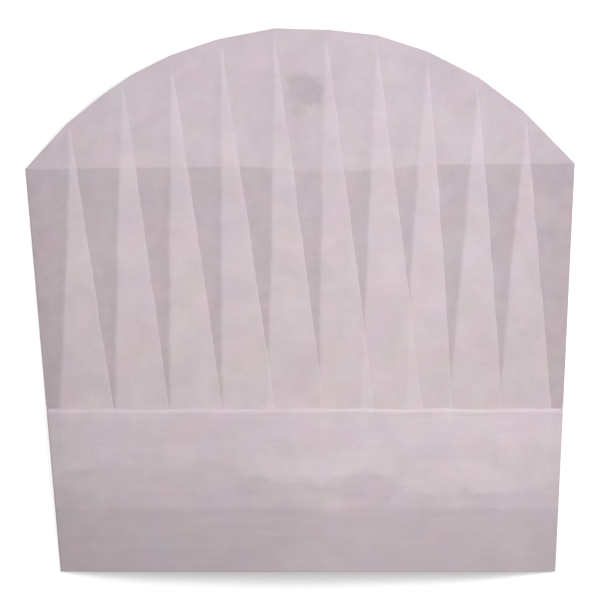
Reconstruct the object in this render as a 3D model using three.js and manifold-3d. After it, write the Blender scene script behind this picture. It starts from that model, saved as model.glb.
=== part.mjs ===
// A disposable chef hat of thin nonwoven cloth, folded flat as it comes out of the packet.
//
// The crown is one circle of cloth. Knife pleats gather its rim into the headband, and when the hat is
// pressed flat the middle of the circle tucks down between the front and the back as a gusset. The
// headband is a strip whose upper edge is turned in over the crown's pleated rim.
//
// Millimetres, +Z up. The hat lies on its back: +X is the wearer's left, +Y runs from the head opening
// to the top of the crown, and Z is zero on the surface that it rests on.

import * as THREE from "three";
import { mergeVertices } from "three/addons/utils/BufferGeometryUtils.js";
import Module from "manifold-3d";

const wasm = await Module();
wasm.setup();

// ---- Driving dimensions ----------------------------------------------------------------------------

const CLOTH = 1.0; // one layer of cloth
const GAP = 0.3; // running gap between layers that only touch

const OPENING_WIDTH = 295; // flat width of the head opening, half of 590 round the head
const OPENING_SHIFT = 4.75; // the opening's middle lies this far to the right of the crown's
const SHOULDER_WIDTH = 328; // between the two corners where the sides meet the top
const SHOULDER_HEIGHT = 241.75; // of those corners above the opening's edge
const SHOULDER_TILT = 1.75; // the right corner is this much higher, and the left one lower
const RIM_RADIUS = 204; // of the arc that the folded top follows

const BAND_HEIGHT = 96.5; // headband, from the opening to its folded upper edge
const TURN_IN = 58.5; // of the strip's upper edge, inside the band
const RIDGE_RISE = 0.5; // the fold stands this far proud of the band
const TUCK = 30; // of the crown's pleated rim, inside the band
const PLEAT_RISE = 0.8; // the two hidden layers of a pleat lift the outer one by this much

// Heights of the outer front surfaces along the middle of the hat, from the opening to the top.
const BAND_LOFT = [
  { y: 0, z: 19 },
  { y: 96.5, z: 21 },
];
const CROWN_LOFT = [
  { y: 96.5, z: 17.6 },
  { y: 170, z: 19.5 },
  { y: 242, z: 17 },
  { y: 324, z: 8.6 },
];
const LENS_POWER = 2.6; // how full the hat's section is, from flat (high) to peaked (low)
const SEAT_RUN = 26; // over this length above the band the crown comes down to the surface

// Front pleats from left to right: where each starts on the rim, and where its outer fold and its hidden
// fold reach the top of the band.
const PLEATS = [
  { rim: -137.5, fold: -112.0, hidden: -142.0 },
  { rim: -106.5, fold: -79.5, hidden: -110.0 },
  { rim: -76.5, fold: -48.0, hidden: -78.5 },
  { rim: -46.5, fold: -16.5, hidden: -46.5 },
  { rim: -15.0, fold: 13.0, hidden: -18.0 },
  { rim: 15.5, fold: 44.0, hidden: 12.0 },
  { rim: 46.0, fold: 71.5, hidden: 37.0 },
  { rim: 76.0, fold: 91.5, hidden: 64.0 },
  { rim: 105.5, fold: 120.0, hidden: 90.5 },
  { rim: 134.5, fold: 150.0, hidden: 120.5 },
];
const PLEAT_RAMP = 3.2; // the outer layer climbs over the hidden fold in this width
const PLEAT_STEP = 0.25; // and drops off the outer fold in this one
const PLEAT_POINT = 1.2; // width of a pleat where it starts at the rim
const PLEAT_FADE = 0.12; // the pleat's rise fades in over this share of its length

// ---- Derived sizes ---------------------------------------------------------------------------------

const { lerp, smoothstep, clamp } = THREE.MathUtils;

const BAND_WALL = 2 * CLOTH + GAP; // strip and turn-in
const TUCKED_DEPTH = BAND_WALL + GAP + PLEAT_RISE; // from the band's face to the crown inside it
const SIDE_FOLD = 2 * CLOTH + 2 * GAP; // two layers at a side fold
const BAND_FOLD = 2 * TUCKED_DEPTH + SIDE_FOLD; // the band's thickness at its side folds, over the turn-in
const SHOULDER_FOLD = 4 * CLOTH + 4 * GAP; // four layers at a shoulder corner
const RIM_CENTRE = SHOULDER_HEIGHT - Math.sqrt(RIM_RADIUS ** 2 - (SHOULDER_WIDTH / 2) ** 2);

const corner = (side) => ({
  openingX: OPENING_SHIFT + (side * OPENING_WIDTH) / 2,
  shoulderX: (side * SHOULDER_WIDTH) / 2,
  shoulderY: SHOULDER_HEIGHT + side * SHOULDER_TILT,
});

// The side edge at height y: a straight line from the opening's corner to the shoulder.
function sideX(side, y) {
  const c = corner(side);
  return lerp(c.openingX, c.shoulderX, Math.min(1, y / c.shoulderY));
}

// The rim's height above the opening at x: the arc, tilted with the shoulders.
function rimY(x) {
  const arc = RIM_CENTRE + Math.sqrt(RIM_RADIUS ** 2 - Math.min(x ** 2, (SHOULDER_WIDTH / 2) ** 2));
  return arc + (SHOULDER_TILT * x) / (SHOULDER_WIDTH / 2);
}

const TOP = Math.max(...PLEATS.flatMap((p) => [rimY(p.rim), rimY(-p.rim)])); // of the hat's outline

// The gusset's inner fold is the straight line from shoulder to shoulder.
const innerFoldY = (x) => SHOULDER_HEIGHT + (SHOULDER_TILT * x) / (SHOULDER_WIDTH / 2);

// 1 on the hat's middle line and 0 at its side folds.
function lens(x, y) {
  const left = sideX(-1, y);
  const right = sideX(1, y);
  const across = clamp((2 * x - left - right) / (right - left), -1, 1);
  return 1 - Math.abs(across) ** LENS_POWER;
}

// A loft table's height at y.
function loft(rows, y) {
  const from = clamp(rows.findLastIndex((row) => row.y <= y), 0, rows.length - 2);
  const [a, b] = [rows[from], rows[from + 1]];
  return lerp(a.z, b.z, smoothstep(y, a.y, b.y));
}

// ---- The surfaces of the layers, as heights above the table ----------------------------------------

// Outer face of the band's front. Its side folds are thin at the opening and thick over the turn-in.
function bandFront(x, y) {
  const fold = lerp(SIDE_FOLD, BAND_FOLD, smoothstep(y, 0, BAND_HEIGHT - TURN_IN));
  return lerp(fold, loft(BAND_LOFT, y), lens(x, y));
}

// Outer face of the crown's back where it isn't pleated: inside the band it clears the turn-in, and
// above the band it lies one pleat's rise above the surface, on its pleats.
const crownBack = (x, y) =>
  lerp(TUCKED_DEPTH, PLEAT_RISE, smoothstep(y, BAND_HEIGHT, BAND_HEIGHT + SEAT_RUN));

// Outer face of the crown's front where it isn't pleated.
function crownFront(x, y) {
  if (y <= BAND_HEIGHT) return bandFront(x, y) - TUCKED_DEPTH;
  const fold = lerp(SIDE_FOLD, SHOULDER_FOLD, smoothstep(y, 0.8 * SHOULDER_HEIGHT, SHOULDER_HEIGHT));
  return lerp(crownBack(x, y) + fold, loft(CROWN_LOFT, y), lens(x, y));
}

// The gusset halves at (x, y): they start against the front and the back at the rim, and come together
// at the inner fold. Returns the outer faces of both, which face each other.
function gusset(x, y) {
  const down = (rimY(x) - y) / Math.max(1, rimY(x) - innerFoldY(x));
  const share = smoothstep(down, 0, 1);
  const front = crownFront(x, y) - CLOTH;
  const back = crownBack(x, y) + CLOTH;
  const free = front - back - 2 * CLOTH; // shared by the gaps in front of, between and behind the halves
  const frontGap = lerp(GAP, 0.65 * (free - GAP), share);
  const backGap = lerp(GAP, 0.35 * (free - GAP), share);
  return {
    frontUpper: front - frontGap,
    frontLower: front - frontGap - CLOTH,
    backUpper: back + backGap + CLOTH,
    backLower: back + backGap,
  };
}

// ---- Solids from layers ----------------------------------------------------------------------------

// One layer of cloth: a box whose grid of points is moved to rows of plan points { x, y }, with its lower
// and upper faces at the heights low(point) and high(point).
function layer(rows, low, high) {
  const geometry = new THREE.BoxGeometry(1, 1, 1, rows[0].length - 1, rows.length - 1, 1);
  const place = geometry.attributes.position;
  for (let i = 0; i < place.count; i++) {
    const row = rows[Math.round((place.getY(i) + 0.5) * (rows.length - 1))];
    const point = row[Math.round((place.getX(i) + 0.5) * (row.length - 1))];
    place.setXYZ(i, point.x, point.y, place.getZ(i) > 0 ? high(point) : low(point));
  }
  geometry.deleteAttribute("normal");
  geometry.deleteAttribute("uv");
  return mergeVertices(geometry);
}

function toManifold(geometry) {
  const vertProperties = geometry.attributes.position.array;
  const triVerts = new Uint32Array(geometry.index.array);
  return new wasm.Manifold(new wasm.Mesh({ numProp: 3, vertProperties, triVerts }));
}

// Joins layers into one closed piece of cloth, and moves its origin from the opening's edge to under the
// middle of the hat.
function joined(name, layers, material) {
  const solid = layers.map(toManifold).reduce((whole, piece) => whole.add(piece)).getMesh();
  const geometry = new THREE.BufferGeometry();
  geometry.setAttribute("position", new THREE.BufferAttribute(solid.vertProperties, 3));
  geometry.setIndex(new THREE.BufferAttribute(solid.triVerts, 1));
  geometry.translate(0, -TOP / 2, 0);
  geometry.computeVertexNormals();
  const mesh = new THREE.Mesh(geometry, material);
  mesh.name = name;
  return mesh;
}

const spread = (from, to, steps) =>
  Array.from({ length: steps + 1 }, (_, i) => lerp(from, to, i / steps));

// ---- Headband --------------------------------------------------------------------------------------

const BAND_COLUMNS = 22;

// Plan grid of the band between two heights, drawn in from its side edges by inset.
const bandGrid = (heights, inset) =>
  heights.map((y) =>
    spread(sideX(-1, y) + inset, sideX(1, y) - inset, BAND_COLUMNS).map((x) => ({ x, y })),
  );

// Plan grid of one layer's thickness along a side edge, from inset inwards.
const sideGrid = (side, heights, inset, width = CLOTH) =>
  heights.map((y) => {
    const edge = sideX(side, y) - side * inset(y);
    const xs = [edge, edge - side * width].sort((a, b) => a - b);
    return xs.map((x) => ({ x, y }));
  });

function headband(material) {
  const heights = spread(0, BAND_HEIGHT, 4);
  const turnedIn = spread(BAND_HEIGHT - TURN_IN, BAND_HEIGHT, 3);
  const ridge = [BAND_HEIGHT - 2 * CLOTH, BAND_HEIGHT];
  const inner = CLOTH + GAP;
  const front = (depth) => (p) => bandFront(p.x, p.y) - depth;
  const back = (height) => () => height;
  const layers = [
    layer(bandGrid(heights, 0), front(CLOTH), front(0)),
    layer(bandGrid(heights, 0), back(0), back(CLOTH)),
    layer(bandGrid(turnedIn, inner), front(BAND_WALL), front(inner)),
    layer(bandGrid(turnedIn, inner), back(inner), back(BAND_WALL)),
    layer(bandGrid(ridge, 0), front(BAND_WALL), front(-RIDGE_RISE)),
    layer(bandGrid(ridge, 0), back(0), back(BAND_WALL)),
  ];
  for (const side of [-1, 1]) {
    layers.push(layer(sideGrid(side, heights, () => 0), back(0), front(0)));
    layers.push(layer(sideGrid(side, turnedIn, () => inner), back(inner), front(inner)));
    layers.push(layer(sideGrid(side, ridge, () => 0, BAND_WALL), back(0), front(0)));
  }
  return joined("headband", layers, material);
}

// ---- Crown -----------------------------------------------------------------------------------------

const CROWN_FOOT = BAND_HEIGHT - TUCK; // the crown's pleated rim ends here, inside the band
const ROWS_IN_BAND = [CROWN_FOOT, BAND_HEIGHT - TUCK / 2, BAND_HEIGHT];
const ROWS_ABOVE = [0.05, 0.11, 0.18, 0.3, 0.44, 0.58, 0.72, 0.84, 0.93, 1]; // shares of the way up

// The crown keeps inside the band's side folds, and widens to the full outline above it.
const crownInset = (y) => lerp(BAND_WALL + GAP, 0, smoothstep(y, BAND_HEIGHT + 1, BAND_HEIGHT + 18));

// The back is pleated like the front, the same way round the hat, so its pleats are mirrored in plan.
const BAND_SIDES = sideX(-1, BAND_HEIGHT) + sideX(1, BAND_HEIGHT);
const BACK_PLEATS = PLEATS.map((p) => ({
  rim: -p.rim,
  fold: BAND_SIDES - p.fold,
  hidden: BAND_SIDES - p.hidden,
}));

// Plan points along one row of a pleated wall, each with the pleat's rise there. The row's share is 0 at
// the top of the band and 1 at the rim; y gives the row's height at a point whose rim height is rimY.
function pleatedRow(pleats, share, y) {
  const hand = Math.sign(pleats[0].fold - pleats[0].hidden); // +1 where the outer folds are to the right
  const rise = PLEAT_RISE * Math.min(1, (1 - share) / PLEAT_FADE);
  const ramp = lerp(PLEAT_RAMP, PLEAT_POINT / 2, share);
  const edge = (side) => {
    const height = y(corner(side).shoulderY);
    return { x: sideX(side, height) - side * crownInset(height), y: height, rise: 0 };
  };
  const row = [edge(-hand)];
  for (const p of pleats) {
    const height = y(rimY(p.rim));
    const fold = hand * lerp(p.fold, p.rim, share) + (share * PLEAT_POINT) / 2;
    const hidden = hand * lerp(p.hidden, p.rim, share) - (share * PLEAT_POINT) / 2;
    const climb = Math.max(hidden - ramp, hand * row.at(-1).x + PLEAT_STEP);
    row.push({ x: hand * climb, y: height, rise: 0 });
    row.push({ x: hand * Math.max(hidden, climb + ramp), y: height, rise });
    row.push({ x: hand * fold, y: height, rise });
    row.push({ x: hand * (fold + PLEAT_STEP), y: height, rise: 0 });
  }
  row.push(edge(hand));
  return hand > 0 ? row : row.reverse();
}

const pleatedGrid = (pleats) => [
  ...ROWS_IN_BAND.map((y) => pleatedRow(pleats, 0, () => y)),
  ...ROWS_ABOVE.map((share) => pleatedRow(pleats, share, (rim) => lerp(BAND_HEIGHT, rim, share))),
];

// The rim's corners from shoulder to shoulder, one at each pleat.
const rimCorners = (pleats) =>
  [-SHOULDER_WIDTH / 2, ...pleats.map((p) => p.rim), SHOULDER_WIDTH / 2].sort((a, b) => a - b);

// The gusset's foot: its inner fold, kept a little below the rim at the shoulders.
const gussetFoot = (x) => Math.min(innerFoldY(x), rimY(x) - 1.5 * CLOTH);

// Plan grid from the inner fold to the rim, at the shares of that height listed.
const gussetGrid = (pleats, shares) =>
  shares.map((share) =>
    rimCorners(pleats).map((x) => ({ x, y: lerp(gussetFoot(x), rimY(x), share) })),
  );

// Plan grid of a strip one layer wide above the line foot(x).
const stripGrid = (pleats, foot) =>
  [0, CLOTH].map((up) => rimCorners(pleats).map((x) => ({ x, y: foot(x) + up })));

function crown(material) {
  const front = (p) => crownFront(p.x, p.y) + (p.rise ?? 0);
  const frontInside = (p) => crownFront(p.x, p.y) - CLOTH;
  const back = (p) => crownBack(p.x, p.y) - (p.rise ?? 0);
  const backInside = (p) => crownBack(p.x, p.y) + CLOTH;
  const face = (name) => (p) => gusset(p.x, p.y)[name];
  const shares = spread(0, 1, 4);
  const underRim = (x) => rimY(x) - CLOTH;
  const layers = [
    layer(pleatedGrid(PLEATS), frontInside, front),
    layer(pleatedGrid(BACK_PLEATS), back, backInside),
    layer(gussetGrid(PLEATS, shares), face("frontLower"), face("frontUpper")),
    layer(gussetGrid(BACK_PLEATS, shares), face("backLower"), face("backUpper")),
    layer(stripGrid(PLEATS, underRim), face("frontLower"), front),
    layer(stripGrid(BACK_PLEATS, underRim), back, face("backUpper")),
    layer(stripGrid(PLEATS, gussetFoot), face("backLower"), face("frontUpper")),
  ];
  for (const side of [-1, 1]) {
    const above = spread(BAND_HEIGHT, corner(side).shoulderY, 10).slice(1);
    layers.push(layer(sideGrid(side, [...ROWS_IN_BAND, ...above], crownInset), back, front));
  }
  return joined("crown", layers, material);
}

// ---- The hat ---------------------------------------------------------------------------------------

const nonwoven = new THREE.MeshStandardMaterial({ color: 0xd3c6cc, roughness: 0.9, metalness: 0 });
const bandCloth = new THREE.MeshStandardMaterial({ color: 0xc9bcc2, roughness: 0.9, metalness: 0 });

const hat = new THREE.Group();
hat.add(crown(nonwoven), headband(bandCloth));
export default hat;
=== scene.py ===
"""A disposable chef hat of thin nonwoven cloth, folded flat and lying on its back."""

import bpy
import numpy as np
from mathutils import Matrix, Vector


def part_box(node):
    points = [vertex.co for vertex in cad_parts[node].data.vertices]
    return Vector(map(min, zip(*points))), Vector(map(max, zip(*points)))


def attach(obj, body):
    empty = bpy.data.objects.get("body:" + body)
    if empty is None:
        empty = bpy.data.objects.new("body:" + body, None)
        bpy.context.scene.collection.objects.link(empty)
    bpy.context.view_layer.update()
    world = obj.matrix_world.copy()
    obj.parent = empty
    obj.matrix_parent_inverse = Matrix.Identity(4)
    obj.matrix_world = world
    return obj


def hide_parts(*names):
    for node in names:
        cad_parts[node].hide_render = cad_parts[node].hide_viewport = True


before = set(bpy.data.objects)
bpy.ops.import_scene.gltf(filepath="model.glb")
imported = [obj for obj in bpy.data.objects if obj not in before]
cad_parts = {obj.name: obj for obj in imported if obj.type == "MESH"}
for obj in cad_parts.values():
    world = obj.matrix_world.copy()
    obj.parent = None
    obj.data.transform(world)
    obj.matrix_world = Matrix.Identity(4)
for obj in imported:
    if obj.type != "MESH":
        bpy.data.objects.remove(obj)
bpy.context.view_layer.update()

# ---- Table, light and camera -----------------------------------------------------------------------
# The hat lies on a plain pale table in a white room. One soft lamp hangs over it and another stands to
# its upper right. The camera looks straight down from 8 m, with the crown's top at the top of the
# picture, and takes in 358 mm of the table. It stands 0.1 mm below the hat's middle.

bpy.ops.mesh.primitive_plane_add(size=8)
table = bpy.context.object
table.name = "table"

table_finish = bpy.data.materials.new("pale_table")
table_finish.use_nodes = True
table_shader = table_finish.node_tree.nodes["Principled BSDF"]
table_shader.inputs["Base Color"].default_value = (0.95, 0.95, 0.95, 1)
table_shader.inputs["Roughness"].default_value = 0.95
table_shader.inputs["Specular IOR Level"].default_value = 0.1
table_shader.inputs["Emission Color"].default_value = (1, 1, 1, 1)
table_shader.inputs["Emission Strength"].default_value = 0.3
table.data.materials.append(table_finish)

room = bpy.data.worlds.new("white_room")
room.use_nodes = True
room.node_tree.nodes["Background"].inputs["Color"].default_value = (1, 1, 1, 1)
room.node_tree.nodes["Background"].inputs["Strength"].default_value = 0.27
bpy.context.scene.world = room

for name, place, size, power in (
    ("side_lamp", (0.9, 0.45, 1.15), 0.6, 8.1),
    ("top_lamp", (-0.083, 0.125, 1.0), 0.6, 4.24),
):
    lamp_data = bpy.data.lights.new(name, "AREA")
    lamp_data.shape = "DISK"
    lamp_data.size = size
    lamp_data.energy = power
    lamp = bpy.data.objects.new(name, lamp_data)
    lamp.location = place
    lamp.rotation_euler = lamp.location.to_track_quat("Z", "Y").to_euler()
    lamp.visible_camera = False
    bpy.context.scene.collection.objects.link(lamp)

camera_data = bpy.data.cameras.new("camera")
camera_data.sensor_width = 36
camera_data.lens = 804
camera = bpy.data.objects.new("camera", camera_data)
camera.location = (0, -0.0001, 8.0)
camera_data.clip_end = 50
bpy.context.scene.collection.objects.link(camera)
bpy.context.scene.camera = camera
bpy.context.scene.view_settings.view_transform = "Standard"

# ---- Crown -----------------------------------------------------------------------------------------
# One circle of nonwoven cloth, 68 cm across. Twenty radial knife pleats draw its rim in to the
# headband, and its middle is folded down between the front and the back as a gusset. All lengths here
# are millimetres, and y is the height above the edge of the opening.

CLOTH = 0.13  # thickness of the cloth
LAYER = 0.21  # from one folded layer to the next
BEND = 0.105  # radius of a pressed fold
SIDE_ROOM = 0.5  # from the headband's side fold to the crown's

opening_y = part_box("headband")[0].y * 1000  # the frame's y of the opening's edge
BAND_TOP = 96.5  # y of the top of the headband

# The sides run straight from the opening's corners to the shoulders.
OPENING_X = {-1: -142.8, 1: 152.3}
SHOULDER_X = {-1: -163.9, 1: 163.9}
SHOULDER_Y = {-1: 240.1, 1: 243.5}

# The corners of the folded rim from the left shoulder to the right one: x, y.
RIM = np.array(
    [
        (-163.9, 240.1),
        (-139.2, 266.8),
        (-116.0, 285.5),
        (-98.7, 297.0),
        (-77.7, 307.6),
        (-48.8, 317.4),
        (-15.2, 323.9),
        (17.1, 323.0),
        (46.1, 319.8),
        (76.1, 310.1),
        (106.4, 294.7),
        (133.1, 274.8),
        (163.9, 243.5),
    ]
)

# The gusset's inner fold runs straight from shoulder to shoulder: its y in the middle, and its slope.
INNER_FOLD_Y = 241.8
INNER_FOLD_SLOPE = 1.7 / 163.9

# The front's pleats: x and y of the point near the rim; x of the outer fold and of the hidden fold at
# the top of the band; and how far each of the two bows to the right at half its height. The back's are
# the same, seen from behind.
PLEATS = np.array(
    [
        (-137.4, 266.2, -111.0, -143.2, -0.2, 0.6),
        (-105.6, 289.7, -78.0, -109.8, 0.5, -1.1),
        (-76.8, 305.5, -46.1, -77.6, 0.4, -0.3),
        (-46.7, 315.8, -14.3, -46.3, -0.2, -0.4),
        (-15.3, 321.8, 14.7, -20.2, 0.3, 1.0),
        (15.8, 320.6, 44.8, 11.8, 0.2, -1.1),
        (46.2, 317.6, 73.9, 36.2, -0.1, -0.3),
        (76.7, 307.7, 91.3, 63.1, 0.5, -2.3),
        (106.4, 290.8, 120.7, 88.8, 0.5, -0.5),
        (135.5, 270.6, 150.3, 118.8, 0.0, -1.0),
    ]
)

# The crown's raw edge inside the band, cut by hand, at the front and at the back: x, y.
FRONT_FOOT = np.array(
    [
        (-155, 57),
        (-141, 60),
        (-125, 62),
        (-105, 66.5),
        (-91, 68.5),
        (-48, 65.5),
        (-38, 60),
        (-28, 57),
        (-12, 55),
        (4, 53.5),
        (11, 50),
        (15, 52),
        (20, 57),
        (34, 60.5),
        (52, 57.5),
        (60, 51.5),
        (67, 47.5),
        (123, 46.5),
        (139, 50),
        (155, 53),
    ]
)
BACK_FOOT = np.array(
    [
        (-155, 52),
        (-100, 57),
        (-70, 54),
        (-40, 52),
        (0, 57),
        (40, 63),
        (60, 71),
        (85, 78),
        (155, 77),
    ]
)


def ease(share):
    """A smooth step from 0 to 1: 3 s^2 - 2 s^3 for s from 0 to 1."""
    share = np.clip(share, 0, 1)
    return share * share * (3 - 2 * share)


def side_x(side, y):
    """A side fold's x at y: straight from the opening's corner to the shoulder, and upright above it."""
    share = np.minimum(y / SHOULDER_Y[side], 1)
    return OPENING_X[side] + (SHOULDER_X[side] - OPENING_X[side]) * share


def rim_y(x):
    """The rim's y at x: straight from corner to corner."""
    return np.interp(x, RIM[:, 0], RIM[:, 1])


def foot_y(hand, x):
    """A raw edge's y at x: straight from corner to corner, plus two short waves. hand is 1 at the front
    and -1 at the back."""
    foot = FRONT_FOOT if hand > 0 else BACK_FOOT
    return np.interp(x, foot[:, 0], foot[:, 1]) + 0.9 * np.sin(x / 5) + 0.6 * np.sin(x / 2.3 + 1)


def fullness(x, y):
    """How far the hat stands open: 1 - |s|^2.6, for s from -1 to 1 between the side folds."""
    left, right = side_x(-1, y), side_x(1, y)
    return 1 - np.abs(np.clip((2 * x - left - right) / (right - left), -1, 1)) ** 2.6


def swell(x, y, seed, wave, height):
    """The unevenness of limp cloth: five sine waves in random directions, each about `wave` long."""
    draw = np.random.default_rng(seed)
    angle = draw.uniform(0, np.pi, 5)
    length = wave * draw.uniform(0.7, 1.6, 5)
    phase = draw.uniform(0, 2 * np.pi, 5)
    along = np.cos(angle) * np.asarray(x)[..., None] + np.sin(angle) * np.asarray(y)[..., None]
    return height * np.sin(2 * np.pi * along / length + phase).sum(-1) / 2.2


def band_front(x, y):
    """Height of the headband's front: a fold 1 to 2 mm thick at the sides, a low arch between them."""
    edge = 1.1 + 1.3 * ease(y / 60)
    middle = 17.4 + 2.8 * ease(y / 120)
    full = fullness(x, y)
    creases = swell(x / 7, y, 12, 13, 0.1)
    return edge + (middle - edge) * full + (swell(x, y, 11, 70, 0.45) + creases) * np.sqrt(full)


def crown_front(x, y):
    """Height of the crown's front below its pleats: a parabola along the middle, highest at y = 150."""
    full = fullness(x, y)
    middle = 19.0 - 0.00038 * (y - 150) ** 2
    return 0.9 + (middle - 0.9) * full + swell(x, y, 5, 64, 0.6) * np.sqrt(full)


def layers_under(x, hidden, soft):
    """Layers of cloth under a panel at x: 2 more past its own hidden fold, plus those of the panels
    under it. hidden has a column for each hidden fold, from the panel's own on; soft is the width over
    which the cloth climbs up to a fold."""
    count = np.zeros_like(x)
    for fold in hidden.T[::-1]:
        count = ease((x - fold[:, None]) / soft + 1) * (2 + count)
    return count


# What the crown's material needs at each point, in millimetres: how far past the panel's own hidden
# fold it lies, past the next one, and before the next outer fold; and how wide the gap between the
# folds nearest to it is.
CROWN_MARKS = ("past_hidden", "past_next", "to_fold", "open_gap")


def crown_half(hand):
    """Half of the crown, lying flat: x, y, level and marks on a grid with the axes row and column.

    hand is 1 for the front and -1 for the back, which is worked out as seen from behind. Rows run from
    the raw edge in the band up to the rim, round its fold and down the gusset to the inner fold. Columns
    run along the cloth: across a panel to its outer fold, back under it to the hidden fold, and across
    the next panel. Between a pleat's point and the rim the same columns lie side by side.
    """
    # Rows: the tuck from the raw edge to the top of the band, the wall up to the rim, closer where the
    # pleats end, and the gusset. up is a row's share of the way from the top of the band to the rim.
    tuck = np.linspace(1, 0, 6)[:-1]
    wall = np.concatenate([np.linspace(0, 0.94, 42), [0.955, 0.966, 0.973, 0.98, 0.986, 0.991, 1]])
    gusset = np.linspace(0, 1, 13)[1:]
    up = np.concatenate([0 * tuck, wall, [1, 1], 1 + 0 * gusset])
    high_rows = slice(len(tuck) + len(wall), None)
    rim_row = len(tuck) + len(wall) - 1

    # The side folds, low and high in x, and how far the band's middle is shifted for the back.
    low_x, high_x = hand * side_x(-hand, BAND_TOP), hand * side_x(hand, BAND_TOP)
    shift = (low_x + high_x - side_x(-1, BAND_TOP) - side_x(1, BAND_TOP)) / 2
    low_y = BAND_TOP + (SHOULDER_Y[-hand] - BAND_TOP) * up
    high_y = BAND_TOP + (SHOULDER_Y[hand] - BAND_TOP) * up
    low = hand * side_x(-hand, low_y) + SIDE_ROOM * (1 - ease(up / 0.015))
    high = hand * side_x(hand, high_y) - SIDE_ROOM * (1 - ease(up / 0.015))

    # The outer and hidden folds: straight from the band to the pleat's point, bowed by 4 r (1 - r) for a
    # reach r from 0 to 1, and wandering a little as hand-pressed folds do. folded goes from 1 to 0 where
    # the pleat opens at its point.
    point = PLEATS[:, 0]
    point_up = (PLEATS[:, 1] - BAND_TOP) / (rim_y(point) - BAND_TOP)
    reach = np.clip(up[:, None] / point_up, 0, 1)
    folded = ease((point_up - up[:, None]) / 0.016)
    spot = np.arange(len(PLEATS)) * 37.0
    wander = np.sin(np.pi * reach) ** 0.5 * folded
    bow = 4 * reach * (1 - reach)
    outer = PLEATS[:, 2] + shift + (point - PLEATS[:, 2] - shift) * reach + PLEATS[:, 4] * bow
    outer = outer + swell(spot, up[:, None] * 228, 21 + hand, 34, 0.2) * wander
    outer = outer + swell(spot, up[:, None] * 228, 41 + hand, 13, 0.24) * wander * (0.35 + 0.65 * reach)
    hidden = PLEATS[:, 3] + shift + (point - PLEATS[:, 3] - shift) * reach + PLEATS[:, 5] * bow
    hidden = hidden + swell(spot, up[:, None] * 228, 31 + hand, 50, 0.25) * wander

    spread = 1.0  # from a pleat's point to where its columns end, beside it, at the rim
    climb = 5.0  # over which a panel rises onto the layers past its hidden fold
    last = len(PLEATS)
    # Columns, panel by panel: where they lie folded, and where they lie flat beyond the pleats' points.
    found = {key: [] for key in ("x", "level") + CROWN_MARKS}
    far = np.full(len(up), 999.0)
    for k in range(last + 1):
        start = low if k == 0 else hidden[:, k - 1]
        own = high if k == last else hidden[:, k]
        end = high if k == last else outer[:, k]
        fold = folded[:, k][:, None] if k < last else 1
        entry = folded[:, k - 1][:, None] if k else 1
        room = (own - climb if k < last else end) - start
        near = [BEND, np.minimum(1.2, 0.09 * room)]
        if k == 0:
            near = [0, np.minimum(0.2, 0.02 * room)] + near[1:]
        ahead = [0.12, 0.28, 0.44, 0.6, 0.76, 0.9]
        if k == last:
            lying = [start + a for a in near] + [start + (end - start) * s for s in ahead]
            lying += [end - 1.5, end - 0.25, end]
            flat_start = point[k - 1] + spread + 0 * up
            flat = [flat_start + a for a in near] + [flat_start + (end - flat_start) * s for s in ahead]
            flat += [end - 1.5, end - 0.25, end]
        else:
            foot = own - climb
            past = np.array([0.15, 0.35, 0.55, 0.75, 0.9, 0.97])
            lying = [start + a for a in near] + [start + (foot - start) * s for s in ahead]
            lying += [foot, foot + 1.7, foot + 3.4, own, own + np.minimum(0.5, 0.05 * (end - own))]
            lying += [own + (end - own) * s for s in past] + [end - BEND * folded[:, k]]
            flat_start = low if k == 0 else point[k - 1] + spread + 0 * up
            flat_own = point[k] - spread + 0 * up
            flat = [flat_start + a for a in near]
            flat += [flat_start + (flat_own - climb - flat_start) * s for s in ahead]
            flat += [flat_own - climb, flat_own - 3.3, flat_own - 1.6, flat_own, flat_own + 0.06]
            flat += [flat_own + spread * s for s in past] + [flat_own + spread]
        folded_x, flat_x = np.stack(lying, 1), np.stack(flat, 1)
        share = np.linspace(0, 1, folded_x.shape[1])
        blend = entry * (1 - share) + fold * share
        if k == 0:
            blend = np.maximum(0, fold) * np.ones_like(share)
        if k == last:
            blend = np.maximum(0, entry) * np.ones_like(share)
        x = flat_x + (folded_x - flat_x) * blend
        lift = layers_under(x, hidden[:, k:], climb) if k < last else 0 * x
        found["x"].append(x)
        found["level"].append(lift * fold)
        found["past_hidden"].append(x - own[:, None] if k < last else 0 * x - 99)
        following = hidden[:, k + 1] if k + 1 < last else far
        found["past_next"].append(x - following[:, None])
        found["to_fold"].append((end[:, None] + 60 * (1 - fold) if k < last else far[:, None]) - x)
        gap_before = own - outer[:, k - 1] if 0 < k < last else far
        gap_after = following - end if k < last else far
        gaps = gap_before[:, None] * (1 - share) + gap_after[:, None] * share
        found["open_gap"].append(np.clip(gaps, -20, 20))
        if k == last:
            break
        # The hidden part of the pleat, turned back under the panel.
        back = np.array([0, 0.004, 0.25, 0.5, 0.75, 0.996, 1])
        turned = outer[:, k, None] + (hidden[:, k] - outer[:, k])[:, None] * back
        turned[:, 1] -= BEND * folded[:, k]
        turned[:, 5] += BEND * folded[:, k]
        level_x = point[k] + spread * np.linspace(0.12, 0.94, 7)
        x = level_x + (turned - level_x) * fold
        beneath = layers_under(x, hidden[:, k + 1 :], climb)
        found["x"].append(x)
        found["level"].append((beneath + np.array([1.5, 1, 1, 1, 1, 1, 0.5])) * fold)
        found["past_hidden"].append((x - own[:, None]) * fold - 5 * (1 - fold))
        found["past_next"].append(x - following[:, None])
        found["to_fold"].append(np.abs(end[:, None] - x) + 60 * (1 - fold))
        found["open_gap"].append(np.clip(gap_after[:, None] + 0 * x, -20, 20))
    half = {key: np.concatenate(parts, 1) for key, parts in found.items()}

    x = half["x"]
    y = BAND_TOP + up[:, None] * (rim_y(hand * x[rim_row]) - BAND_TOP)
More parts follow.
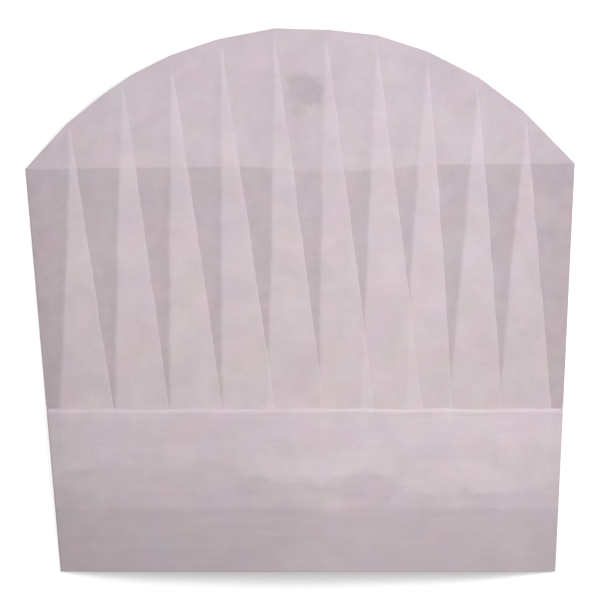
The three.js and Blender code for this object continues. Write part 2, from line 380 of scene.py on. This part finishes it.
    # Below the top of the band the columns follow its sides down to the raw edge.
    t = slice(0, len(tuck))
    y[t] = BAND_TOP + tuck[:, None] * (foot_y(hand, hand * x[0]) - BAND_TOP)
    left, right = hand * side_x(-hand, y[t]) + SIDE_ROOM, hand * side_x(hand, y[t]) - SIDE_ROOM
    share = (x[t] - low[0]) / (high[0] - low[0])
    x[t] = left + (right - left) * share
    # The gusset starts in the rim's fold and ends on the straight inner fold from shoulder to shoulder.
    rim_x = x[rim_row].copy()
    across = 0.995 * (rim_x - rim_x[::-1]) / 2
    inner_y = INNER_FOLD_Y + hand * INNER_FOLD_SLOPE * across
    inner_y = np.minimum(inner_y, rim_y(hand * across) - 1.2)
    down = np.concatenate([[0, 0], gusset])[:, None]
    x[high_rows] = rim_x + (across - rim_x) * down
    y[high_rows] = y[rim_row] + (inner_y - y[rim_row]) * down
    y[rim_row] -= 0.15
    y[high_rows][1] -= 0.15
    half.update(y=y, rim_row=rim_row, high_rows=high_rows, down=down, fold_x=across)

    # The place of each point in the flat cut: the gusset as it lies, and beyond the rim straight on along
    # each column, the columns fanning out from one end of the diameter to the other.
    run = np.hypot(x[rim_row] - x[:rim_row], y[rim_row] - y[:rim_row])
    lean = np.arctan2(x[len(tuck)] - x[rim_row], y[rim_row] - y[len(tuck)])
    fan = np.concatenate([[0], np.cumsum(np.abs(np.diff(lean)) + 0.002 * np.abs(np.diff(rim_x)))])
    fan = np.pi * (fan / fan[-1] - 0.5)
    out_y = rim_y(hand * rim_x) - inner_y
    cut_x, cut_y = x.copy(), y - inner_y
    cut_x[: rim_row + 1] = rim_x
    cut_y[: rim_row + 1] = out_y
    cut_x[:rim_row] += run * np.sin(fan)
    cut_y[:rim_row] += run * np.cos(fan)
    half.update(cut_x=cut_x, cut_y=cut_y)
    return half


def crown_surface(hand):
    """Half of the crown with its heights, its columns running from left to right as seen from above.

    Inside the band the front hangs under the band's two plies; over 14 mm above the band it rises to its
    own arch. The back lies on the table, raised where other layers lie beneath.
    """
    half = crown_half(hand)
    rim_row, high_rows, down = half["rim_row"], half["high_rows"], half["down"]
    half["x"] = hand * half["x"]
    half["fold_x"] = hand * half["fold_x"]
    half["cut_x"] = hand * half["cut_x"]
    half["cut_y"] = hand * half["cut_y"]
    if hand < 0:
        for key, value in half.items():
            if isinstance(value, np.ndarray) and value.ndim == 2 and value.shape[1] > 1:
                half[key] = value[:, ::-1]
        half["fold_x"] = half["fold_x"][::-1]
    x, y, level = half["x"], half["y"], half["level"]
    z = np.zeros_like(x)
    out = ease((y - BAND_TOP) / 14)  # from 0 inside the band to 1 above it
    if hand > 0:
        in_band = band_front(x, y) - 0.4 - 0.15 * (4 - level)
        z[:] = in_band + (crown_front(x, y) + LAYER * level - in_band) * out
    else:
        lap = 2 * LAYER * ease((14 - np.abs(x)) / 5)
        from_side = np.minimum(x - side_x(-1, y), side_x(1, y) - x)
        # Low down around x = -50 the back's pleats lie on each other, two layers deeper.
        crowded = ease((190 - y) / 40) * ease((55 - np.abs(x + 50)) / 12)
        room_below = 2 * ease(from_side / 5) + 2 * crowded
        in_band = 2.3 * LAYER + lap
        z[:] = CLOTH / 2 + 0.02 + in_band * (1 - out) + LAYER * (room_below - level).clip(0)
        z += 0.3 * out * fullness(x, y) * (1 + swell(x, y, 8, 70, 0.7)).clip(0, 2)
    # Side folds, and the gusset from the rim's fold to the inner fold.
    z[:rim_row, [0, -1]] = (0.6 + 0.25 * (1 - out))[:rim_row, [0, -1]]
    top = z[rim_row].copy()
    inner_full = fullness(half["fold_x"], 241 + 0 * half["fold_x"])
    inner = 0.75 + 3.2 * inner_full + 0.5 * ease(8 * inner_full)
    start = top - hand * 2 * BEND
    z[high_rows] = start + (inner - start) * (0.25 * down + 0.75 * ease(down))
    z[high_rows][0] = top - hand * BEND
    half["z"] = z
    return half


def sheet_piece(name, points, quads, cut, marks):
    """A piece of cloth from its points in millimetres, its faces, each point's place in the flat cut, kept
    as a UV map, and its marks, kept as attributes. The thickness goes half to each side."""
    placed = points * 0.001
    placed[:, 1] += opening_y * 0.001
    mesh = bpy.data.meshes.new(name)
    mesh.from_pydata(placed.tolist(), [], quads.tolist())
    flat = mesh.uv_layers.new(name="cut")
    corners = np.zeros(len(mesh.loops), np.int32)
    mesh.loops.foreach_get("vertex_index", corners)
    flat.uv.foreach_set("vector", (cut[corners] * 0.001).astype(np.float32).ravel())
    for key, values in marks.items():
        mesh.attributes.new(key, "FLOAT", "POINT").data.foreach_set("value", values.astype(np.float32))
    mesh.shade_smooth()
    piece = bpy.data.objects.new(name, mesh)
    bpy.context.scene.collection.objects.link(piece)
    ply = piece.modifiers.new("ply", "SOLIDIFY")
    ply.thickness = CLOTH * 0.001
    ply.offset = 0
    return piece


def grid_quads(index):
    """The faces of a grid of point numbers, facing the way that its rows turn to its columns."""
    a, b, c, d = index[:-1, :-1], index[:-1, 1:], index[1:, 1:], index[1:, :-1]
    return np.stack([a, b, c, d], -1).reshape(-1, 4)


front, back = crown_surface(1), crown_surface(-1)
rows, columns = front["x"].shape
front_index = np.arange(rows * columns).reshape(rows, columns)
# One piece of cloth: front and back share the side folds and the inner fold.
apart = np.ones((rows, columns), bool)
apart[:, [0, -1]] = False
apart[-1] = False
back_index = front_index.copy()
back_index[apart] = rows * columns + np.arange(apart.sum())
both = {
    key: np.concatenate([front[key].ravel(), back[key][apart]])
    for key in ("x", "y", "z", "cut_x", "cut_y") + CROWN_MARKS
}
is_front = np.zeros((rows, columns))
is_front[: front["rim_row"] + 1] = 1
both["front"] = np.concatenate([is_front.ravel(), np.zeros(apart.sum())])
crown = sheet_piece(
    "crown_cloth",
    np.stack([both["x"], both["y"], both["z"]], 1),
    np.concatenate([grid_quads(front_index), grid_quads(back_index)[:, ::-1]]),
    np.stack([both["cut_x"], both["cut_y"]], 1),
    {key: both[key] for key in CROWN_MARKS + ("front",)},
)


def add(tree, kind, links=(), **values):
    """A shader node with its settings, its inputs' values, and its inputs' links. An input is given by
    its name, with _ for a space, or by its place: i1 for input 1."""
    node = tree.nodes.new("ShaderNode" + kind)
    for key, value in values.items():
        if hasattr(node, key):
            setattr(node, key, value)
        else:
            socket = int(key[1:]) if key[0] == "i" and key[1:].isdigit() else key.replace("_", " ")
            node.inputs[socket].default_value = value
    for socket, source in dict(links).items():
        tree.links.new(source, node.inputs[socket])
    return node


def shader_group(name, inputs, outputs):
    """An empty shader group with its named inputs and outputs."""
    group = bpy.data.node_groups.new(name, "ShaderNodeTree")
    for key, (kind, value) in inputs.items():
        socket = group.interface.new_socket(key, in_out="INPUT", socket_type=kind)
        if value is not None:
            socket.default_value = value
    for key, kind in outputs.items():
        group.interface.new_socket(key, in_out="OUTPUT", socket_type=kind)
    return group, group.nodes.new("NodeGroupInput"), group.nodes.new("NodeGroupOutput")


# Nonwoven cloth: fibres laid in all directions, thicker and thinner in clouds. The inputs are the
# place in the flat cut and the sizes; the outputs are masks from 0 to 1, and a height for the bump.
FLOAT, VECTOR, COLOUR = "NodeSocketFloat", "NodeSocketVector", "NodeSocketColor"
nonwoven, got, put = shader_group(
    "nonwoven_fibres",
    {"Cut": (VECTOR, None), "Fibres per metre": (FLOAT, 2400.0), "Clouds per metre": (FLOAT, 55.0)},
    {"Fibres": FLOAT, "Clouds": FLOAT, "Height": FLOAT},
)
strands = []
for turn in (0.1, 0.8, 1.35, 2.05, 2.7):
    laid = add(
        nonwoven,
        "Mapping",
        {"Vector": got.outputs["Cut"]},
        vector_type="TEXTURE",
        Location=(turn, 2 * turn, 0),
        Rotation=(0, 0, turn),
        Scale=(1, 11, 1),
    )
    strand = add(
        nonwoven,
        "TexNoise",
        {"Vector": laid.outputs["Vector"], "Scale": got.outputs["Fibres per metre"]},
        noise_dimensions="2D",
        Detail=2.0,
        Roughness=0.6,
    )
    strands.append(strand.outputs["Fac"])
upper = strands[0]
for strand in strands[1:]:
    upper = add(nonwoven, "Math", {0: upper, 1: strand}, operation="MAXIMUM").outputs[0]
fibres = add(
    nonwoven,
    "MapRange",
    {"Value": upper},
    From_Min=0.5,
    From_Max=0.74,
    interpolation_type="SMOOTHSTEP",
)
cloud = add(
    nonwoven,
    "TexNoise",
    {"Vector": got.outputs["Cut"], "Scale": got.outputs["Clouds per metre"]},
    noise_dimensions="2D",
    Detail=5.0,
    Roughness=0.55,
    Distortion=0.4,
)
clouds = add(nonwoven, "MapRange", {"Value": cloud.outputs["Fac"]}, From_Min=0.3, From_Max=0.7)
height = add(
    nonwoven,
    "Math",
    {0: clouds.outputs[0], 2: fibres.outputs[0]},
    operation="MULTIPLY_ADD",
    i1=0.35,
)
nonwoven.links.new(fibres.outputs[0], put.inputs["Fibres"])
nonwoven.links.new(clouds.outputs[0], put.inputs["Clouds"])
nonwoven.links.new(height.outputs[0], put.inputs["Height"])

# Thin white cloth looks lighter the more layers lie on each other: each layer past the second leaves
# only a share of the darkness, thick clouds counting for a little more. The output mixes from the thin
# look, 0, to the thick one, 1: it is 1 - share^layers.
thick_look, got, put = shader_group(
    "lightness_of_layers",
    {
        "Layers past two": (FLOAT, 0.0),
        "Clouds": (FLOAT, 0.5),
        "Left dark by a layer": (FLOAT, 0.58),
    },
    {"Mix": FLOAT},
)
by_cloud = add(thick_look, "Math", {0: got.outputs["Clouds"]}, operation="MULTIPLY_ADD", i1=0.3, i2=0.85)
hiding_layers = add(
    thick_look,
    "Math",
    {0: got.outputs["Layers past two"], 1: by_cloud.outputs[0]},
    operation="MULTIPLY",
)
left_dark = add(
    thick_look,
    "Math",
    {0: got.outputs["Left dark by a layer"], 1: hiding_layers.outputs[0]},
    operation="POWER",
)
hidden_dark = add(thick_look, "Math", {1: left_dark.outputs[0]}, operation="SUBTRACT", i0=1.0)
thick_look.links.new(hidden_dark.outputs[0], put.inputs["Mix"])

# The white is not even: soft patches a little warmer, greener or bluer than the rest. The output is a
# colour to multiply the cloth's by, near white.
tint_patches, got, put = shader_group(
    "tint_patches",
    {"Place": (VECTOR, None), "Patches per metre": (FLOAT, 45.0), "Strength": (FLOAT, 0.13)},
    {"Tint": COLOUR},
)
patch = add(
    tint_patches,
    "TexNoise",
    {"Vector": got.outputs["Place"], "Scale": got.outputs["Patches per metre"]},
    noise_dimensions="3D",
    Detail=2.0,
    Roughness=0.6,
)
off_grey = add(
    tint_patches,
    "VectorMath",
    {0: patch.outputs["Color"]},
    operation="SUBTRACT",
    i1=(0.5, 0.5, 0.5),
)
faint = add(
    tint_patches,
    "VectorMath",
    {0: off_grey.outputs[0], 3: got.outputs["Strength"]},
    operation="SCALE",
)
near_white = add(
    tint_patches,
    "VectorMath",
    {0: faint.outputs[0]},
    operation="ADD",
    i1=(1.0, 1.0, 1.0),
)
tint_patches.links.new(near_white.outputs[0], put.inputs["Tint"])


def cloth_material(name):
    """The start of a cloth's material: its tree and shader, the fibres on its flat cut, and the place on
    the hat, also as millimetres across and above the opening's edge."""
    cloth = bpy.data.materials.new(name)
    cloth.use_nodes = True
    tree = cloth.node_tree
    shader = tree.nodes["Principled BSDF"]
    shader.inputs["Roughness"].default_value = 0.9
    shader.inputs["Specular IOR Level"].default_value = 0.25
    shader.inputs["Sheen Weight"].default_value = 0.12
    shader.inputs["Sheen Roughness"].default_value = 0.6
    cut = add(tree, "UVMap", uv_map="cut")
    web = add(tree, "Group", node_tree=nonwoven)
    tree.links.new(cut.outputs["UV"], web.inputs["Cut"])
    spot = add(tree, "TexCoord").outputs["Object"]
    axes = add(tree, "SeparateXYZ", {"Vector": spot})
    x_mm = value(tree, "MULTIPLY", axes.outputs["X"], 1000)
    y_mm = value(tree, "MULTIPLY_ADD", axes.outputs["Y"], 1000, -opening_y)
    return cloth, tree, shader, web, spot, x_mm, y_mm


def value(tree, operation, *inputs):
    """A sum on up to three values, each a number or a socket."""
    node = tree.nodes.new("ShaderNodeMath")
    node.operation = operation
    for socket, given in zip(node.inputs, inputs):
        if hasattr(given, "links"):
            tree.links.new(given, socket)
        else:
            socket.default_value = given
    return node.outputs[0]


def ramp(tree, source, start, end, low=0.0, high=1.0):
    """A smooth step of a value: low up to start and high from end on."""
    node = add(tree, "MapRange", {"Value": source}, interpolation_type="SMOOTHSTEP")
    for key, given in (("From Min", start), ("From Max", end), ("To Min", low), ("To Max", high)):
        node.inputs[key].default_value = given
    return node.outputs[0]


def mark(tree, name):
    """The value of one of the piece's marks."""
    return add(tree, "Attribute", attribute_name=name).outputs["Fac"]


def noise(tree, vector, scale, detail=3.0, rough=0.5):
    """Noise from 0 to 1 with `scale` lumps to the metre."""
    return add(
        tree,
        "TexNoise",
        {"Vector": vector},
        noise_dimensions="3D",
        Scale=scale,
        Detail=detail,
        Roughness=rough,
    ).outputs["Fac"]


def layered_colour(tree, web, layers, left_dark, of_two, of_many):
    """The colour of two layers mixed with that of many, and the mix. left_dark is the darkness that each
    further layer leaves."""
    look = add(tree, "Group", node_tree=thick_look)
    look.inputs["Left dark by a layer"].default_value = left_dark
    tree.links.new(layers, look.inputs["Layers past two"])
    tree.links.new(web.outputs["Clouds"], look.inputs["Clouds"])
    colour = add(tree, "Mix", {"Factor": look.outputs["Mix"]}, data_type="RGBA")
    colour.inputs[6].default_value = (*of_two, 1)
    colour.inputs[7].default_value = (*of_many, 1)
    return colour.outputs[2], look.outputs["Mix"]


def multiplied(tree, colour, by):
    """A colour times another, or times a value."""
    product = add(tree, "Mix", {6: colour, 7: by}, data_type="RGBA", blend_type="MULTIPLY")
    product.inputs["Factor"].default_value = 1.0
    return product.outputs[2]


def finish_cloth(tree, shader, web, spot, colour, shade):
    """The end of a cloth's material: its colour times its tint times its shade, its bump, and its
    roughness, less along the fibres."""
    tint = add(tree, "Group", {"Place": spot}, node_tree=tint_patches)
    tone = multiplied(tree, multiplied(tree, colour, tint.outputs["Tint"]), shade)
    tree.links.new(tone, shader.inputs["Base Color"])
    bump = add(tree, "Bump", {"Height": web.outputs["Height"]}, Strength=0.4, Distance=0.00012)
    tree.links.new(bump.outputs["Normal"], shader.inputs["Normal"])
    roughness = value(tree, "MULTIPLY_ADD", web.outputs["Fibres"], -0.12, 0.95)
    tree.links.new(roughness, shader.inputs["Roughness"])


crown_finish, tree, shader, web, spot, x_mm, y_mm = cloth_material("crown_nonwoven")
rough_edge = value(tree, "SUBTRACT", noise(tree, spot, 110, 4, 0.65), 0.5)
past_hidden = value(tree, "MULTIPLY_ADD", rough_edge, 1.8, mark(tree, "past_hidden"))
past_next = value(tree, "MULTIPLY_ADD", rough_edge, 1.8, mark(tree, "past_next"))
pleat = value(tree, "ADD", ramp(tree, past_hidden, -1.1, 1.9), ramp(tree, past_next, -1.1, 1.9))

# The gusset lies under the wall above a line from shoulder to shoulder, which hangs a little in the
# middle and is less sharp there. Right of the middle its inner ply hangs 30 mm lower.
middle = ramp(tree, value(tree, "ABSOLUTE", value(tree, "SUBTRACT", x_mm, 22)), 60, 12)
line_y = value(tree, "MULTIPLY_ADD", x_mm, INNER_FOLD_SLOPE, INNER_FOLD_Y)
line_y = value(tree, "MULTIPLY_ADD", middle, -3.0, line_y)
ragged = value(tree, "MULTIPLY_ADD", middle, 3.0, 0.9)
line_y = value(tree, "MULTIPLY_ADD", rough_edge, ragged, line_y)
above_line = value(tree, "SUBTRACT", y_mm, line_y)
blur = value(tree, "MULTIPLY_ADD", middle, 1.3, 0.5)
over_gusset = ramp(tree, value(tree, "DIVIDE", above_line, blur), -1, 1)
low_ply = ramp(tree, value(tree, "MULTIPLY_ADD", rough_edge, 3.0, y_mm), 210.2, 211.8)
from_low_ply = value(tree, "ABSOLUTE", value(tree, "SUBTRACT", x_mm, 34))
low_ply = value(tree, "MULTIPLY", low_ply, ramp(tree, from_low_ply, 44, 32))

# A pleat's two layers lie in front and hide more than the gusset's two, which lie behind the wall.
layers = value(tree, "MULTIPLY", pleat, 1.7)
layers = value(tree, "MULTIPLY_ADD", over_gusset, 1.2, layers)
layers = value(tree, "MULTIPLY_ADD", low_ply, 0.3, layers)
colour, thickness = layered_colour(
    tree,
    web,
    layers,
    left_dark=0.58,
    of_two=(0.577, 0.487, 0.522),
    of_many=(0.759, 0.648, 0.693),
)
# It is a little bluer up toward the rim, and a little warmer down by the band.
cast = add(tree, "Mix", {"Factor": ramp(tree, y_mm, 110, 325)}, data_type="RGBA")
cast.inputs[6].default_value = (1.0, 1.0, 0.982, 1)
cast.inputs[7].default_value = (0.994, 1.0, 1.026, 1)
colour = multiplied(tree, colour, cast.outputs[2])


def from_centre(tree, x_mm, y_mm, centre_x, centre_y, wide, tall):
    """How far a point is from a centre, as a share of an ellipse's half width and half height."""
    dx = value(tree, "MULTIPLY_ADD", x_mm, 1 / wide, -centre_x / wide)
    dy = value(tree, "MULTIPLY_ADD", y_mm, 1 / tall, -centre_y / tall)
    square = value(tree, "MULTIPLY_ADD", dx, dx, value(tree, "MULTIPLY", dy, dy))
    return value(tree, "SQRT", square)


# A thumb's grey smudge near the top, on the front only: patchy, soft at its edge, and with a paler spot
# below it. Its blots: x, y, half width, half height, strength.
THUMB_BLOTS = (
    (3.6, 287.3, 11.3, 10.2, 1.0),
    (-1.8, 291.8, 7.0, 6.5, 0.9),
    (-0.6, 276.6, 4.6, 6.0, 0.6),
)
blotch = value(tree, "SUBTRACT", noise(tree, spot, 150, 4, 0.6), 0.5)
smudge = 0.0
for centre_x, centre_y, wide, tall, strength in THUMB_BLOTS:
    distance = from_centre(tree, x_mm, y_mm, centre_x, centre_y, wide, tall)
    distance = value(tree, "MULTIPLY_ADD", blotch, 1.5, distance)
    smudge = value(tree, "MAXIMUM", ramp(tree, distance, 1.2, 0.6, 0.0, strength), smudge)
smudge = value(tree, "MULTIPLY", smudge, value(tree, "MULTIPLY_ADD", rough_edge, 1.3, 0.95))
smudge = value(tree, "MULTIPLY", smudge, mark(tree, "front"))

# Broad places made lighter and others made darker: x, y, half width, half height, lighter by.
BROAD_PLACES = (
    (4, 276, 32, 62, -0.055),
    (36, 240, 26, 26, -0.02),
    (-119, 192, 46, 50, 0.045),
    (71, 183, 48, 50, 0.035),
    (113, 264, 30, 36, 0.025),
    (40, 117, 75, 26, 0.035),
    (-146, 108, 34, 40, -0.04),
)
uneven = 0.0
for centre_x, centre_y, wide, tall, lighter in BROAD_PLACES:
    distance = from_centre(tree, x_mm, y_mm, centre_x, centre_y, wide, tall)
    uneven = value(tree, "ADD", ramp(tree, distance, 1.0, 0.0, 0.0, lighter), uneven)

# A painted highlight lies along a pressed outer fold's edge, which faces the light: less where it lies on
# the next pleat and no gap shows, and less toward the band.
seen = ramp(tree, mark(tree, "open_gap"), -1.0, 3.0)
painted_fold_highlight = ramp(tree, mark(tree, "to_fold"), 3.7, 0.8)
painted_fold_highlight = value(tree, "MULTIPLY", painted_fold_highlight, value(tree, "MULTIPLY_ADD", seen, 0.9, 0.1))
painted_fold_highlight = value(tree, "MULTIPLY", painted_fold_highlight, ramp(tree, y_mm, 130, 240, 0.009, 0.026))

# Where only two layers lie together, the back shows through the front in darker and lighter mottles.
# Painted shade makes the cloth a little greyer low down, where the front dips toward the band, and at the
# right side, and a painted highlight makes it lighter just above the top of the headband.
mottle = value(tree, "SUBTRACT", noise(tree, spot, 100, 5, 0.66), 0.5)
mottle = value(tree, "MULTIPLY", mottle, value(tree, "MULTIPLY_ADD", thickness, -0.24, 0.29))
shade = value(tree, "ADD", value(tree, "MULTIPLY_ADD", web.outputs["Clouds"], 0.04, 0.98), mottle)
# Painted shade low down, more on the pleats.
painted_low_shade = value(tree, "MULTIPLY_ADD", thickness, -0.03, -0.012)
shade = value(tree, "MULTIPLY_ADD", ramp(tree, y_mm, 170, 100), painted_low_shade, shade)
# Painted shade along the right side.
painted_right_side_shade = value(tree, "MULTIPLY_ADD", thickness, 0.03, -0.05)
shade = value(tree, "MULTIPLY_ADD", ramp(tree, x_mm, 105, 145), painted_right_side_shade, shade)
# Painted highlight just above the top of the headband.
shade = value(tree, "MULTIPLY_ADD", ramp(tree, y_mm, BAND_TOP + 6, BAND_TOP + 1), 0.03, shade)
shade = value(tree, "MULTIPLY_ADD", web.outputs["Fibres"], 0.03, shade)
# Add the painted highlight along the outer folds.
shade = value(tree, "ADD", painted_fold_highlight, shade)
shade = value(tree, "MULTIPLY_ADD", smudge, -0.15, shade)
shade = value(tree, "ADD", uneven, shade)
# Painted shade darkens it within 12 mm of the left side fold, where the arched side turns away from the
# light.
side_slope = (SHOULDER_X[-1] - OPENING_X[-1]) / SHOULDER_Y[-1]
from_side = value(tree, "ADD", x_mm, value(tree, "MULTIPLY_ADD", y_mm, -side_slope, -OPENING_X[-1]))
shade = value(tree, "MULTIPLY_ADD", ramp(tree, from_side, 12, 0), -0.04, shade)
finish_cloth(tree, shader, web, spot, colour, shade)
crown.data.materials.append(crown_finish)

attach(crown, "root")
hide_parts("crown")

# ---- Headband --------------------------------------------------------------------------------------
# A strip of the same cloth, 60 cm long and 15.5 cm wide. Its upper 58 mm are folded down inside it over
# the crown's raw edge, and its ends are lapped and glued at the middle of the back.

TURN_IN = 58.5
LAP = 8.0  # the strip's ends reach this far past the middle of the back

# The top fold: y, and how far inside the band's outer face it lies. It stands a little proud of the
# face, and the fold itself is 0.7 mm higher than the top of the band.
TOP_FOLD = np.array(
    [
        (93.6, -0.04),
        (94.2, -0.12),
        (94.8, -0.22),
        (95.4, -0.3),
        (96.0, -0.33),
        (96.5, -0.3),
        (96.9, -0.22),
        (97.15, -0.1),
        (97.2, 0.05),
        (97.0, 0.22),
        (96.5, 0.28),
    ]
)


def band_surface():
    """The strip, its rows running up the outside, over the top fold and down the inside, and its columns
    from the middle of the back round the right side, the front and the left side to the back again."""
    # Columns: evenly apart, and two close together at each pleat's fold, where the layers under the band
    # change. face is 1 on the front, -1 on the back and 0 at a side fold.
    outer, hidden = PLEATS[:, 2], PLEATS[:, 3]
    edges = np.concatenate([outer - 0.5, outer + 0.5, hidden - 0.5, hidden + 0.5])
    left, right = side_x(-1, BAND_TOP), side_x(1, BAND_TOP)
    even = np.linspace(left, right, 78)[1:-1]
    even = even[np.abs(even[:, None] - edges).min(1) > 0.8]
    near_sides = [left + 0.3, left + 1.2, right - 1.2, right - 0.3]
    edges = edges[(edges > left + 1.5) & (edges < right - 1.5)]
    front_x = np.sort(np.concatenate([even, edges, near_sides]))[::-1]
    back_even = np.linspace(left, right, 62)[1:-1]
    back_x = np.sort(np.concatenate([back_even, near_sides]))
    start_x = np.concatenate([[-LAP, -LAP + 2, 0, LAP], back_x[back_x > LAP + 1.5]])
    end_x = np.concatenate([back_x[back_x < -LAP - 1.5], [-LAP, 0, LAP - 2, LAP]])
    flat_x = np.concatenate([start_x, [right], front_x, [left], end_x])
    face = np.concatenate([-1 + 0 * start_x, [0], 1 + 0 * front_x, [0], -1 + 0 * end_x])
    # The strip's start lies over its end, two layers higher.
    lap = np.zeros_like(flat_x)
    lap[: len(start_x)] = 2 * LAYER * ease((14 - start_x) / 5)

    # Rows: up the outside, over the top fold and down the inside. inside is how far inside the outer face
    # they lie. The top fold and the raw edge of the turn-in are not quite straight.
    raw_y = BAND_TOP - TURN_IN
    outer_y = np.concatenate([[0, 0.5], np.linspace(2.5, 93.0, 42)])
    inner_y = np.concatenate([[95.8, 94.5], np.linspace(91, raw_y + 0.5, 14), [raw_y]])
    row_y = np.concatenate([outer_y, TOP_FOLD[:, 0], inner_y])[:, None]
    inside = np.concatenate([0 * outer_y, TOP_FOLD[:, 1], LAYER + 0 * inner_y])[:, None]
    near_top = ease((row_y - 90) / 6)
    y = row_y + near_top * swell(flat_x, face * 40, 3, 45, 0.22)
    y = y + ease((44 - row_y) / 6) * (inside > 0.27) * swell(flat_x, face * 40, 4, 60, 0.5)
    y = np.maximum(y, row_y * (row_y < 1))
    # Each row keeps its columns' shares of the way between the side folds.
    share = (flat_x - left) / (right - left)
    low, high = side_x(-1, y) + np.maximum(inside, 0), side_x(1, y) - np.maximum(inside, 0)
    x = low + (high - low) * share
    front_z = band_front(x, y) - inside
    back_z = CLOTH / 2 + 0.02 + np.maximum(inside, 0) + lap
    edge_z = 0.55 + 0.65 * ease(y / 60) + 0 * x
    z = np.where(face > 0, front_z, np.where(face < 0, back_z, edge_z))
    # The place in the flat cut: the way round the band, and the way up the outside and down the inside.
    around = np.concatenate([[0], np.cumsum(np.hypot(np.diff(flat_x), 0.6 * np.diff(face)))])
    cut_x = around + 0 * y
    cut_y = np.concatenate([[0], np.cumsum(np.hypot(np.diff(row_y[:, 0]), np.diff(inside[:, 0])))])
    # What the material needs: pleats lying under each column, the height above each raw edge of the crown,
    # and where the painted highlight along the top fold lies, broader and lower toward the left.
    seen_x = flat_x * np.where(face < 0, -1, 1)
    under = ((seen_x[:, None] > hidden) & (seen_x[:, None] < outer)).sum(1)
    leftward = ease(-flat_x / 120)
    on_fold = ease(1.25 - np.abs(row_y - 95.9 + 0.6 * leftward) / 1.5)
    below_fold = ease((row_y - 91 + 2 * leftward) / 4)
    return {
        "x": x,
        "y": y,
        "z": z,
        "cut_x": cut_x,
        "cut_y": cut_y[:, None] + 0 * y,
        "pleats_under": under + 0 * y,
        "above_front_foot": y - foot_y(1, flat_x),
        "above_back_foot": y - foot_y(-1, flat_x),
        "ridge_highlight_mask": 0.85 * on_fold + (0.2 + 0.15 * leftward) * below_fold,
    }


strip = band_surface()
strip_rows, strip_columns = strip["x"].shape
strip_index = np.arange(strip_rows * strip_columns).reshape(strip_rows, strip_columns)
BAND_MARKS = ("pleats_under", "above_front_foot", "above_back_foot", "ridge_highlight_mask")
headband = sheet_piece(
    "headband_cloth",
    np.stack([strip[key].ravel() for key in ("x", "y", "z")], 1),
    grid_quads(strip_index)[:, ::-1],
    np.stack([strip["cut_x"].ravel(), strip["cut_y"].ravel()], 1),
    {key: strip[key].ravel() for key in BAND_MARKS},
)

band_finish, tree, shader, web, spot, x_mm, y_mm = cloth_material("headband_nonwoven")
# Fine creases run round the band, long and flat.
creased = add(tree, "Mapping", {"Vector": spot}, Scale=(0.12, 1, 1))
creases = value(tree, "SUBTRACT", noise(tree, creased.outputs["Vector"], 200, 5, 0.66), 0.5)
rough_edge = value(tree, "SUBTRACT", noise(tree, spot, 90, 4, 0.6), 0.5)
# The raw edge of the turn-in shows softly, 3.2 mm wide and a little uneven.
on_turn_in = value(tree, "MULTIPLY_ADD", rough_edge, 3.5, y_mm)
on_turn_in = value(tree, "MULTIPLY_ADD", creases, 3.0, on_turn_in)
on_turn_in = ramp(tree, on_turn_in, BAND_TOP - TURN_IN - 1.6, BAND_TOP - TURN_IN + 1.6)
# The raw edges of the crown's front and back, one behind the other, show through the band too. The back
# one is softer, and shows more to the right: back_share is its part of the two.
wander = value(tree, "SUBTRACT", noise(tree, spot, 22, 3, 0.5), 0.5)
front_edge = value(tree, "MULTIPLY_ADD", creases, 14.0, mark(tree, "above_front_foot"))
front_edge = value(tree, "MULTIPLY_ADD", rough_edge, 7.0, front_edge)
back_edge = value(tree, "MULTIPLY_ADD", creases, -22.0, mark(tree, "above_back_foot"))
back_edge = value(tree, "MULTIPLY_ADD", wander, 20.0, back_edge)
back_share = ramp(tree, x_mm, 20, 70, 0.3, 0.48)
front_edge = ramp(tree, front_edge, -2.8, 2.8)
back_edge = value(tree, "SUBTRACT", ramp(tree, back_edge, -6.0, 6.0), front_edge)
over_foot = value(tree, "MULTIPLY_ADD", back_edge, back_share, front_edge)
under = value(tree, "MULTIPLY", mark(tree, "pleats_under"), over_foot)
layers = value(tree, "MULTIPLY", on_turn_in, 1.3)
layers = value(tree, "MULTIPLY_ADD", over_foot, 3.15, layers)
layers = value(tree, "MULTIPLY_ADD", under, 1.3, layers)
colour = layered_colour(
    tree,
    web,
    layers,
    left_dark=0.735,
    of_two=(0.572, 0.487, 0.521),
    of_many=(0.728, 0.621, 0.667),
)[0]

# Lighter to the right and darker down toward the opening. Painted shade greys the side folds, which turn
# away from the light, and a painted highlight lies along the top fold.
shade = ramp(tree, x_mm, -30, 40, 0.935, 1.006)
# Painted shade at the side folds.
shade = value(tree, "MULTIPLY_ADD", ramp(tree, value(tree, "ABSOLUTE", x_mm), 115, 150), -0.03, shade)
shade = value(tree, "MULTIPLY_ADD", ramp(tree, y_mm, 36, 0), -0.05, shade)
shade = value(tree, "MULTIPLY_ADD", web.outputs["Clouds"], 0.04, shade)
# Painted light and shade of the fine creases, which have no relief of their own.
shade = value(tree, "MULTIPLY_ADD", creases, 0.19, shade)
shade = value(tree, "MULTIPLY_ADD", web.outputs["Fibres"], 0.03, shade)
# A painted highlight along the top fold, with a softer skirt below it.
painted_ridge_highlight = value(tree, "MULTIPLY_ADD", rough_edge, 0.8, 1.0)
painted_ridge_highlight = value(tree, "MULTIPLY", mark(tree, "ridge_highlight_mask"), painted_ridge_highlight)
shade = value(tree, "MULTIPLY_ADD", painted_ridge_highlight, 0.13, shade)
finish_cloth(tree, shader, web, spot, colour, shade)
headband.data.materials.append(band_finish)

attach(headband, "root")
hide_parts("headband")
